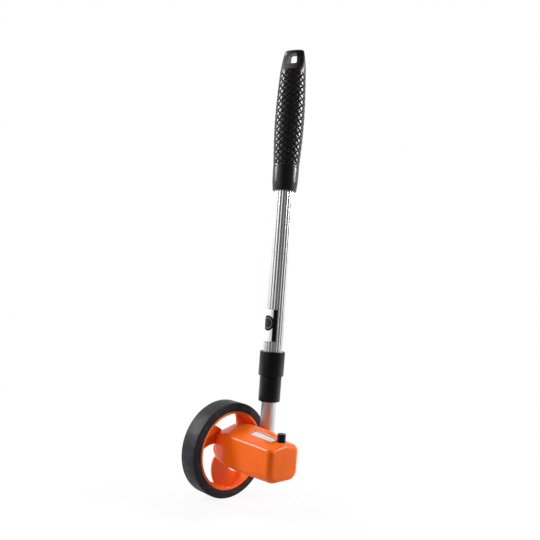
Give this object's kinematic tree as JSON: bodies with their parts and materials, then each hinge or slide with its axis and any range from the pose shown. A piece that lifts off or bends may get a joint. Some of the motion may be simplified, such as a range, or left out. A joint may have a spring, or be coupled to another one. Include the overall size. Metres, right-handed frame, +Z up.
{
  "type": "measuring wheel",
  "caption": "Hand-held measuring wheel: a telescoping handle, a moulded counter housing with a sloping roof and a window, and a rubber-tyred wheel with swept blades beside it.",
  "frame": {"origin": "the middle of the hand grip, on the axis of the handle's tubes", "axes": "+Z up the handle from the wheel to the grip, +X out along the wheel's axle from the wheel to the housing's end, +Y to the side on which the handle's socket stands out from the housing"},
  "size_m": [0.0963, 0.097, 0.4686],
  "materials": {
    "orange_plastic": "gloss",
    "black_plastic": "satin",
    "grip_rubber": "matte",
    "tyre_rubber": "matte",
    "aluminium": "satin",
    "steel": "satin",
    "white_plastic": "satin",
    "clear_plastic": "gloss",
    "brass": "satin"
  },
  "bodies": {
    "handle": {"grip": "grip_rubber", "outer_tube": "aluminium", "upper_collar": "black_plastic"},
    "upper_lock": {"upper_lock_sleeve": "white_plastic"},
    "middle_section": {"middle_tube": "aluminium", "lower_collar": "black_plastic", "upper_lock_core": "black_plastic"},
    "lower_lock": {"lower_lock_sleeve": "white_plastic"},
    "head": {"inner_tube": "aluminium", "lower_lock_core": "black_plastic", "housing_shell": "orange_plastic", "housing_cover": "orange_plastic", "cover_screw_1": "steel", "cover_screw_2": "steel", "cover_screw_3": "steel", "cover_screw_4": "steel", "tube_screw": "steel", "window_lens": "clear_plastic", "window_mask": "white_plastic", "counter_frame": "steel", "frame_screw_1": "steel", "frame_screw_2": "steel", "drum_shaft": "steel", "pinion_shaft": "steel", "idler_pin": "steel", "wheel_side_bush": "brass", "frame_bush": "brass", "reset_spring": "steel"},
    "wheel": {"tyre": "tyre_rubber", "wheel_rim": "orange_plastic", "axle": "steel", "axle_gear": "brass", "thrust_washer": "white_plastic", "wheel_washer": "steel", "wheel_screw": "steel", "axle_clip": "steel"},
    "idler": {"idler_gear": "white_plastic"},
    "drum_1": {"digit_drum_1": "white_plastic", "counter_gear": "white_plastic"},
    "drum_2": {"digit_drum_2": "white_plastic"},
    "drum_3": {"digit_drum_3": "white_plastic"},
    "drum_4": {"digit_drum_4": "white_plastic"},
    "drum_5": {"digit_drum_5": "white_plastic"},
    "pinion_1": {"carry_pinion_1": "white_plastic"},
    "pinion_2": {"carry_pinion_2": "white_plastic"},
    "pinion_3": {"carry_pinion_3": "white_plastic"},
    "pinion_4": {"carry_pinion_4": "white_plastic"},
    "button": {"reset_button": "black_plastic", "button_clip": "steel"},
    "rocker": {"rocker_shaft": "steel", "reset_comb": "black_plastic", "reset_arm": "steel"}
  },
  "joints": [
    {"name": "upper_slide", "type": "slide", "parent": "handle", "child": "upper_lock", "axis": [0, 0, -1], "range_m": [0, 0.245]},
    {"name": "upper_twist", "type": "hinge", "parent": "upper_lock", "child": "middle_section", "pos_m": [0, 0, 0], "axis": [0, 0, 1], "range_deg": [0, 90]},
    {"name": "lower_slide", "type": "slide", "parent": "middle_section", "child": "lower_lock", "axis": [0, 0, -1], "range_m": [0, 0.245]},
    {"name": "lower_twist", "type": "hinge", "parent": "lower_lock", "child": "head", "pos_m": [0, 0, 0], "axis": [0, 0, 1], "range_deg": [0, 90]},
    {"name": "wheel_spin", "type": "hinge", "parent": "head", "child": "wheel", "pos_m": [-0.0185, -0.0295, -0.3454], "axis": [1, 0, 0], "continuous": true},
    {"name": "idler_spin", "type": "hinge", "parent": "head", "child": "idler", "pos_m": [0.04105, -0.031, -0.33795], "axis": [1, 0, 0], "continuous": true},
    {"name": "drum_1_spin", "type": "hinge", "parent": "head", "child": "drum_1", "pos_m": [0.0235, -0.0275, -0.3312], "axis": [1, 0, 0], "continuous": true},
    {"name": "drum_2_spin", "type": "hinge", "parent": "head", "child": "drum_2", "pos_m": [0.0235, -0.0275, -0.3312], "axis": [1, 0, 0], "continuous": true},
    {"name": "drum_3_spin", "type": "hinge", "parent": "head", "child": "drum_3", "pos_m": [0.0235, -0.0275, -0.3312], "axis": [1, 0, 0], "continuous": true},
    {"name": "drum_4_spin", "type": "hinge", "parent": "head", "child": "drum_4", "pos_m": [0.0235, -0.0275, -0.3312], "axis": [1, 0, 0], "continuous": true},
    {"name": "drum_5_spin", "type": "hinge", "parent": "head", "child": "drum_5", "pos_m": [0.0235, -0.0275, -0.3312], "axis": [1, 0, 0], "continuous": true},
    {"name": "pinion_1_spin", "type": "hinge", "parent": "head", "child": "pinion_1", "pos_m": [0.0235, -0.0208, -0.33682], "axis": [1, 0, 0], "continuous": true},
    {"name": "pinion_2_spin", "type": "hinge", "parent": "head", "child": "pinion_2", "pos_m": [0.0235, -0.0208, -0.33682], "axis": [1, 0, 0], "continuous": true},
    {"name": "pinion_3_spin", "type": "hinge", "parent": "head", "child": "pinion_3", "pos_m": [0.0235, -0.0208, -0.33682], "axis": [1, 0, 0], "continuous": true},
    {"name": "pinion_4_spin", "type": "hinge", "parent": "head", "child": "pinion_4", "pos_m": [0.0235, -0.0208, -0.33682], "axis": [1, 0, 0], "continuous": true},
    {"name": "button_press", "type": "slide", "parent": "head", "child": "button", "axis": [0, 0, -1], "range_m": [0, 0.003], "stiffness_N_per_m": 400, "springref_m": -0.004, "deforming": ["reset_spring"]},
    {"name": "rocker_swing", "type": "hinge", "parent": "head", "child": "rocker", "pos_m": [0.0235, -0.0405, -0.3424], "axis": [1, 0, 0], "range_deg": [-13.8, 0]}
  ],
  "couplings": [
    {"joint": "idler_spin", "follows": "wheel_spin", "ratio": -1.5},
    {"joint": "drum_1_spin", "follows": "wheel_spin", "ratio": 1},
    {"joint": "drum_2_spin", "follows": "wheel_spin", "ratio": 0.1},
    {"joint": "drum_3_spin", "follows": "wheel_spin", "ratio": 0.01},
    {"joint": "drum_4_spin", "follows": "wheel_spin", "ratio": 0.001},
    {"joint": "drum_5_spin", "follows": "wheel_spin", "ratio": 0.0001},
    {"joint": "pinion_1_spin", "follows": "wheel_spin", "ratio": -0.25},
    {"joint": "pinion_2_spin", "follows": "wheel_spin", "ratio": -0.025},
    {"joint": "pinion_3_spin", "follows": "wheel_spin", "ratio": -0.0025},
    {"joint": "pinion_4_spin", "follows": "wheel_spin", "ratio": -0.00025},
    {"joint": "rocker_swing", "follows": "button_press", "rad_per_m": -80}
  ]
}
